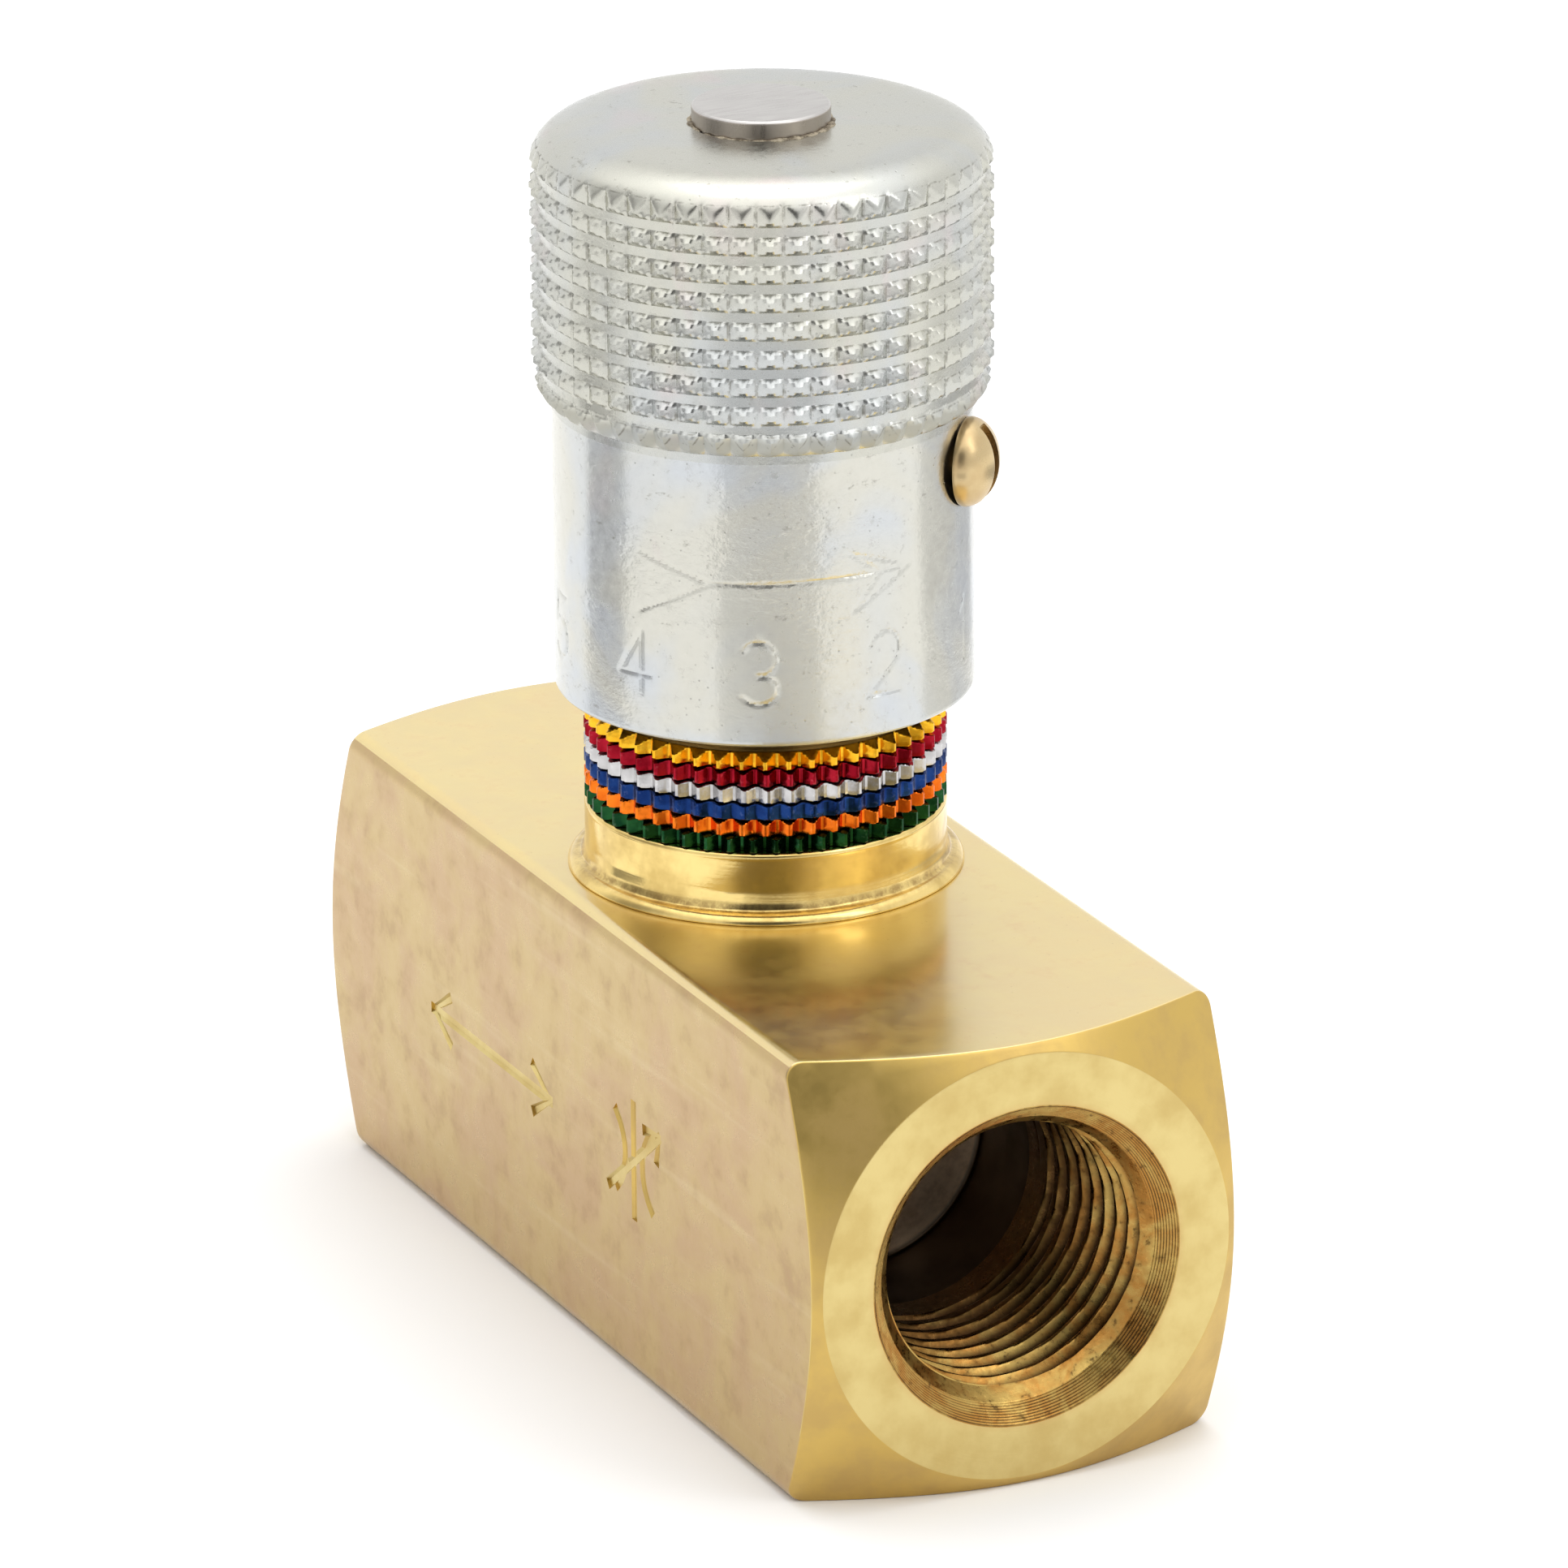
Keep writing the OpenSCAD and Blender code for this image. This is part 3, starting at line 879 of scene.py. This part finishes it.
def digit_lines():
    """Lines of the digits 0 to 9 in a box one wide and one high."""
    bowl = arc(0.5, 0.72, 0.46, 0.28, 150, -90, 12)
    return [
        [arc(0.5, 0.5, 0.5, 0.5, 0, 360, 20)],
        [[(0.5, 0.0), (0.5, 1.0)], [(0.5, 1.0), (0.2, 0.8)]],
        [arc(0.5, 0.7, 0.48, 0.3, 165, -35, 12) + [(0.0, 0.0), (1.0, 0.0)]],
        [bowl, arc(0.5, 0.24, 0.5, 0.24, 90, -150, 12)],
        [[(0.72, 0.0), (0.72, 1.0), (0.0, 0.3), (1.0, 0.3)]],
        [[(0.9, 1.0), (0.15, 1.0), (0.08, 0.56)], arc(0.46, 0.32, 0.5, 0.32, 130, -145, 14)],
        [arc(0.5, 0.3, 0.48, 0.3, 0, 360, 18), [(0.03, 0.35), (0.3, 0.8), (0.75, 1.0)]],
        [[(0.0, 1.0), (1.0, 1.0), (0.35, 0.0)]],
        [arc(0.5, 0.75, 0.38, 0.25, 0, 360, 16), arc(0.5, 0.25, 0.48, 0.25, 0, 360, 16)],
        [arc(0.5, 0.7, 0.48, 0.3, 0, 360, 18), [(0.97, 0.65), (0.7, 0.2), (0.25, 0.0)]],
    ]


def skirt_lines():
    """All lines on the skirt, as (distance round the skirt, height) in millimetres."""
    lines = arrow_lines()
    for digit, strokes in enumerate(digit_lines()):
        middle = (DIGIT_ONE_ANGLE - (digit - 1) * math.radians(36)) * SKIRT_RADIUS
        for stroke in strokes:
            lines.append([
                (middle + (x - 0.5) * DIGIT_WIDTH, DIGIT_Z + y * DIGIT_HEIGHT) for x, y in stroke
            ])
    return lines


def arrow_lines():
    """The arrow that shows which way opens the valve, with a forked tail."""
    def at(degrees_from_front, height):
        return (SKIRT_RADIUS * (FRONT_ANGLE + math.radians(degrees_from_front)), height)

    fork, tip = at(-14.5, 45.3), at(43.0, 45.55)
    return [
        [fork, tip],
        [at(-35.5, 46.65), fork, at(-35.5, 43.25)],
        [at(24.0, 46.75), tip, at(24.8, 43.45)],
        [at(24.0, 46.75), at(33.0, 45.45), at(24.8, 43.45)],
    ]


def distance_to_lines(along, height, lines):
    """Distance in millimetres from each skirt point to the nearest line."""
    around = TAU * SKIRT_RADIUS
    nearest = np.full(along.shape, 1e9)
    for line in lines:
        for start, end in zip(line, line[1:]):
            step = np.array(end) - np.array(start)
            away_x = (along - start[0] + around / 2) % around - around / 2
            away_y = height - start[1]
            share = np.clip((away_x * step[0] + away_y * step[1]) / max(step @ step, 1e-9), 0, 1)
            gap = np.hypot(away_x - share * step[0], away_y - share * step[1])
            nearest = np.minimum(nearest, gap)
    return nearest


def knurl_depth(angle, height):
    """Depth of the knurl: upright V grooves crossed by wide flat-bottomed ones."""
    pitch = TAU / KNURL_TEETH
    place = np.abs(((angle - KNURL_FIRST) / pitch + 0.5) % 1.0 - 0.5) * 2
    row = (height - KNURL_GROOVE_Z) / KNURL_ROW
    nearest = np.clip(np.round(row), 0, KNURL_GROOVES - 1)
    gap = np.abs(row - nearest) * KNURL_ROW
    groove = np.clip((0.64 - gap) / 0.38, 0, 1)
    return np.maximum(0.44 * place, 0.47 * groove)


def grip_envelope(height):
    """Radius of the grip before knurling: its rounded lower end, and its shoulder."""
    above, below = height - GRIP_BOTTOM, KNOB_HIGH[2] - height
    end_steps = [0, 0.02, 0.2, 0.45, 0.8, 1.3, 1.9]
    end_radii = [SKIRT_RADIUS, 11.8, 12.05, 12.25, 12.46, 12.64, GRIP_RADIUS]
    top_steps = [0, 0.03, 0.12, 0.3, 0.55, 0.85, 1.2, 1.6, 2.1]
    top_radii = [FLAT_RADIUS, 9.9, 10.5, 11.1, 11.65, 12.05, 12.35, 12.58, GRIP_RADIUS]
    return np.interp(above, end_steps, end_radii), np.interp(below, top_steps, top_radii)


def knob_heights():
    """Heights of the rows of points up the outside of the knob."""
    bottom, top = KNOB_LOW[2], KNOB_HIGH[2]
    rows = [bottom + 0.32, bottom + 0.36, bottom + 0.9]
    rows += np.arange(DIGIT_Z - 0.3, DIGIT_Z + DIGIT_HEIGHT + 0.31, 0.125).tolist()
    rows += [42.7]
    rows += np.arange(43.0, 47.11, 0.13).tolist()
    rows += [48.2, 49.2, 50.4, 51.4, 52.2, GRIP_BOTTOM - 0.01]
    rows += [GRIP_BOTTOM + step for step in (0.02, 0.12, 0.25, 0.45, 0.65, 0.8)]
    offsets = (-0.64, -0.45, -0.26, -0.12, 0.0, 0.12, 0.26, 0.45, 0.64, 0.79)
    for groove in range(KNURL_GROOVES):
        rows += [KNURL_GROOVE_Z + groove * KNURL_ROW + offset for offset in offsets]
    shoulder = [top - step for step in (1.6, 1.38, 1.2, 1.03, 0.85, 0.7, 0.55, 0.42, 0.3, 0.2, 0.12, 0.03)]
    return np.array(sorted(rows + shoulder))


def knob_outside(angle):
    """Rings of the outside of the knob as (radius, height) arrays."""
    heights = knob_heights()
    height_grid, angle_grid = np.meshgrid(heights, angle, indexing="ij")
    lower, shoulder = grip_envelope(height_grid)
    fade = np.clip((lower - SKIRT_RADIUS) / 0.8, 0, 1)
    grip = np.minimum(lower - fade * knurl_depth(angle_grid, height_grid), shoulder)
    radius = np.where(height_grid < GRIP_BOTTOM, SKIRT_RADIUS, grip)
    marks = distance_to_lines(angle_grid * SKIRT_RADIUS, height_grid, skirt_lines())
    sunk = ENGRAVED_DEPTH * np.clip(1 - marks / ENGRAVED_WIDTH, 0, 1)
    return radius - np.where(height_grid < MARKS_TOP_Z, sunk, 0), height_grid


def knob_shell():
    """The whole knob as one closed skin, from the rim up the outside and down the bore."""
    columns = KNURL_TEETH * 10
    angle = KNURL_FIRST + np.arange(columns) * TAU / columns
    bottom, top = KNOB_LOW[2], KNOB_HIGH[2]
    rim = [
        (10.45, bottom + 0.12), (10.57, bottom), (SKIRT_RADIUS - 0.30, bottom),
        (SKIRT_RADIUS - 0.12, bottom + 0.07), (SKIRT_RADIUS - 0.02, bottom + 0.2),
    ]
    crown = [
        (FLAT_RADIUS, top), (7.0, top), (5.4, top), (4.0, top), (3.9, top - 0.06),
        (3.86, top - 0.2), (3.84, 61.0),
    ]
    bore = [(9.2, 61.0), (9.2, 42.9), (10.45, 42.9)]
    rows = rim + list(zip(*knob_outside(angle))) + crown + bore
    return shell_from_rings("knob_detail", np.array([ring(r, angle, z) for r, z in rows]))


SCREW_JOINT = next(joint for joint in frame["joints"] if joint["name"] == "lock_screw_turn")
SCREW_Z = SCREW_JOINT["pos_m"][2] / MM
SCREW_ANGLE = math.atan2(SCREW_JOINT["axis"][1], SCREW_JOINT["axis"][0])


def to_screw(piece):
    """Turns a piece made along +Z to point out along the lock screw."""
    turn = Matrix.Rotation(SCREW_ANGLE, 4, "Z") @ Matrix.Rotation(math.pi / 2, 4, "Y")
    piece.data.transform(Matrix.Translation((0, 0, SCREW_Z * MM)) @ turn)
    return piece


def sort_knob_faces(mesh):
    """The grip and the top take the second material."""
    for face in mesh.polygons:
        face.material_index = 1 if face.center.z > (MARKS_TOP_Z + 0.2) * MM else 0


def knob():
    piece = knob_shell()
    cut(piece, [to_screw(turned("screw_hole", [(0, 8), (1.46, 8), (1.46, 14), (0, 14)], 48))])
    skirt = zinc("zinc_skirt", 0.20, 0.28, (0.60, 0.59, 0.53), (0.55, 0.575, 0.60), 0.45)
    turned_sheen(skirt, 0.85)
    grip = zinc("zinc_grip", 0.22, 0.32, (0.54, 0.535, 0.475), (0.51, 0.525, 0.52), 0.12)
    materials = [skirt.material, grip.material]
    finish_piece(piece, "knob_and_stem", "knob", materials, 26, sort_knob_faces)


# ---- lock screw


def lock_screw():
    base, height, radius, shank, tip = 11.72, 1.75, 2.5, 1.42, 9.0
    dome = [(radius * math.cos(a), base + height * math.sin(a)) for a in np.radians(range(4, 88, 7))]
    outline = [
        (0, tip), (shank - 0.4, tip), (shank, tip + 0.4), (shank, base), (radius - 0.30, base),
        (radius - 0.04, base - 0.06), *dome, (0, base + height),
    ]
    piece = turned("lock_screw_detail", outline, 96)
    slot_depth, half_slot = 0.9, 0.4
    box = [
        (x, y, z)
        for z in (base + height - slot_depth, base + height + 1)
        for x, y in ((-4, -half_slot), (4, -half_slot), (4, half_slot), (-4, half_slot))
    ]
    faces = [(3, 2, 1, 0), (4, 5, 6, 7), (0, 1, 5, 4), (1, 2, 6, 5), (2, 3, 7, 6), (3, 0, 4, 7)]
    cut(piece, [make_object("slot_cutter", box, faces)])
    to_screw(piece)
    material = brass_turned("brass_screw", (0.60, 0.46, 0.25), (0.52, 0.37, 0.19), 0.26, 0.36)
    finish_piece(piece, "locking_screw", "lock_screw", [material], 35)


# ---- stem


def stem():
    low, high = STEM_LOW[2], STEM_HIGH[2]
    land = 26.35
    groove = land + 2.1
    groove_end = groove + 2 + 2 * 0.8 + 0.2
    end_radius = 3.81
    outline = [
        (0, low), (1.2, low), (1.9, low + 2.5), (2.42, low + 5.8), (3.2, low + 6.6), (3.2, land - 1),
        (5.05, land), (5.55, land + 0.5), (5.55, groove), (3.9, groove), (3.9, groove_end),
        (5.55, groove_end), (5.55, 35.4), (4.7625, 35.4), (4.7625, 61.0), (end_radius, 61.0),
        (end_radius, high - 0.13), (end_radius - 0.13, high), (2.0, high), (0, high),
    ]
    piece = turned("stem_detail", rounded(outline, 0.05, 3), 192)
    finish_piece(piece, "knob_and_stem", "stem", [stainless()], 35)


def stem_residue():
    """A thin, uneven ring of residue in the corner where the stem leaves the knob."""
    angle = np.arange(144) * TAU / 144
    waves = ((0.4, 2, 0.7), (0.25, 7, 2.0), (0.25, 23, 0.0))
    uneven = 0.8 + sum(height * np.sin(count * angle + phase) for height, count, phase in waves)
    rings = [
        ring(
            3.90 + 0.18 * uneven * math.cos(turn), angle,
            KNOB_HIGH[2] - 0.02 + 0.10 * uneven * math.sin(turn),
        )
        for turn in np.arange(8) * TAU / 8
    ]
    piece = shell_from_rings("stem_residue", np.array(rings))
    piece.data.materials.append(dirt())
    smooth_by_angle(piece, 60)
    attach(piece, "knob_and_stem")


# ---- seals


def seals():
    """The seals keep their CAD shapes and get their own materials."""
    black, milky = rubber(), seal_plastic()
    for node, material in (
        ("bonnet_seal", black), ("stem_o_ring", black),
        ("backup_ring_lower", milky), ("backup_ring_upper", milky),
    ):
        data = frame["nodes"][node].data
        data.materials.clear()
        data.materials.append(material)


# ---- floor and lights

# Half the tent's brightness at angles round from the front, in degrees
TENT_BANDS = [
    (-180, 0.52), (-122, 0.56), (-84, 0.22), (-50, 0.48), (-20, 0.46), (16, 0.36), (32, 0.12),
    (42, 0.98), (66, 0.98), (86, 0.50), (110, 0.34), (132, 0.30), (152, 0.50), (165, 0.55),
]
TENT_OVERHEAD = 0.9

# The grey cards lie in rings round the valve, just above the table
CARD_INNER = 113
CARD_OUTER = 190
CARD_Z = 0.5


def floor():
    """A plain pale table."""
    points = [(-1500, -1500, 0), (1500, -1500, 0), (1500, 1500, 0), (-1500, 1500, 0)]
    table = make_object("floor", points, [(0, 1, 2, 3)])
    table.data.materials.append(two_tone("pale_floor", 0.9, (0.93,) * 3, (0.95,) * 3, (0.01, 2.0, 0.5)))


def card(name, start, end, shade):
    """A grey card lying on the table, seen only as a streak in the skirt."""
    angle = FRONT_ANGLE + np.radians(np.linspace(start, end, 9))
    points = np.vstack([ring(radius, angle, CARD_Z) for radius in (CARD_INNER, CARD_OUTER)])
    piece = make_object(name, points, grid_faces(2, 9, False).tolist())
    piece.visible_camera = False
    piece.visible_diffuse = False
    piece.visible_shadow = False
    surface = Surface(name, roughness=0.9)
    surface.colour(surface.blend(surface.noise(0.02, 2.0), (shade,) * 3, (0.9 * shade,) * 3))
    piece.data.materials.append(surface.material)


def cards():
    card("left_card", -108, -79, 0.20)
    card("middle_card", -24, 30, 0.34)
    card("right_card", 92, 150, 0.45)


def tent_bands(sky, azimuth):
    """The tent's brightness at an azimuth measured from the front, as a colour."""
    ramp = sky.add("ValToRGB")
    ramp.color_ramp.interpolation = "EASE"
    stops = ramp.color_ramp.elements
    while len(stops) > 1:
        stops.remove(stops[0])
    for index, (degrees, level) in enumerate(TENT_BANDS):
        stop = stops[0] if index == 0 else stops.new(0.5)
        stop.position = (degrees + 180) / 360
        stop.color = (level, level, level, 1)
    sky.feed(sky.maths("ADD", sky.maths("DIVIDE", azimuth, TAU), 0.5), ramp.inputs["Fac"])
    return ramp.outputs["Color"]


def studio_world():
    """A white tent: brightest overhead, banded round the horizon, dark round the front opening."""
    world = bpy.data.worlds.new("studio")
    bpy.context.scene.world = world
    world.use_nodes = True
    sky = Nodes(world.node_tree)
    where = sky.add("TexCoord").outputs["Generated"]
    to_front = sky.add("VectorRotate", rotation_type="Z_AXIS")
    sky.feed(where, to_front.inputs["Vector"])
    to_front.inputs["Angle"].default_value = -FRONT_ANGLE
    x, y, z = sky.split(to_front.outputs[0])
    blend = sky.add("Mix", data_type="FLOAT")
    sky.feed(sky.between(z, 0.55, 0.95), blend.inputs["Factor"])
    sky.feed(tent_bands(sky, sky.maths("ARCTAN2", y, x)), blend.inputs[2])
    blend.inputs[3].default_value = TENT_OVERHEAD
    opening = sky.add("VectorMath", operation="DOT_PRODUCT")
    sky.feed(where, opening.inputs[0])
    opening.inputs[1].default_value = direction(FRONT_ANGLE, math.radians(24))
    near, far = math.cos(math.radians(13)), math.cos(math.radians(27))
    dimmed = sky.between(opening.outputs["Value"], far, near, 1.0, 0.1)
    background = sky.tree.nodes["Background"]
    strength = sky.times(sky.times(blend.outputs[0], dimmed), 2.0)
    sky.feed(strength, background.inputs["Strength"])
    background.inputs["Color"].default_value = (1.0, 1.0, 1.0, 1.0)


def direction(azimuth, elevation):
    """A unit vector, with its angles in radians."""
    level = math.cos(elevation)
    return Vector((math.cos(azimuth) * level, math.sin(azimuth) * level, math.sin(elevation)))


def softbox(name, azimuth, elevation, distance, size, power):
    """A rectangular area light that points at the valve. Its lengths are in metres."""
    light = bpy.data.lights.new(name, "AREA")
    light.shape = "RECTANGLE"
    light.size, light.size_y = size
    light.energy = power
    lamp = bpy.data.objects.new(name, light)
    towards = direction(math.radians(azimuth), math.radians(elevation))
    lamp.location = towards * distance + Vector((0, 0, 0.03))
    lamp.rotation_mode = "QUATERNION"
    lamp.rotation_quaternion = towards.to_track_quat("Z", "Y")
    bpy.context.scene.collection.objects.link(lamp)


def lights():
    studio_world()
    softbox("right_softbox", 34, 42, 0.8, (0.22, 0.5), 0.6)
    softbox("overhead_softbox", 150, 78, 0.9, (0.5, 0.5), 1.0)


# ---- camera


def camera():
    """The camera looks down at the front corner of the +X end."""
    azimuth, elevation, roll = (math.radians(angle) for angle in (64.55, 19.95, -0.35))
    distance, target = 626.74, Vector((1.15, 0.58, 29.99))
    back = Vector((
        math.sin(azimuth) * math.cos(elevation),
        -math.cos(azimuth) * math.cos(elevation),
        math.sin(elevation),
    ))
    level = Vector((math.cos(azimuth), math.sin(azimuth), 0))
    upright = back.cross(level)
    right = math.cos(roll) * level + math.sin(roll) * upright
    up = -math.sin(roll) * level + math.cos(roll) * upright
    place = (target + back * distance) * MM
    data = bpy.data.cameras.new("camera")
    data.sensor_width = 36
    data.lens = 259.47
    data.clip_start, data.clip_end = 0.05, 10
    holder = bpy.data.objects.new("camera", data)
    holder.matrix_world = Matrix((
        (right.x, up.x, back.x, place.x),
        (right.y, up.y, back.y, place.y),
        (right.z, up.z, back.z, place.z),
        (0, 0, 0, 1),
    ))
    bpy.context.scene.collection.objects.link(holder)
    bpy.context.scene.camera = holder


# ---- the scene

camera()
lights()
floor()
cards()
valve_body()
bonnet()
colour_bands()
knob()
lock_screw()
stem()
stem_residue()
seals()
bpy.context.scene.view_settings.view_transform = "Standard"
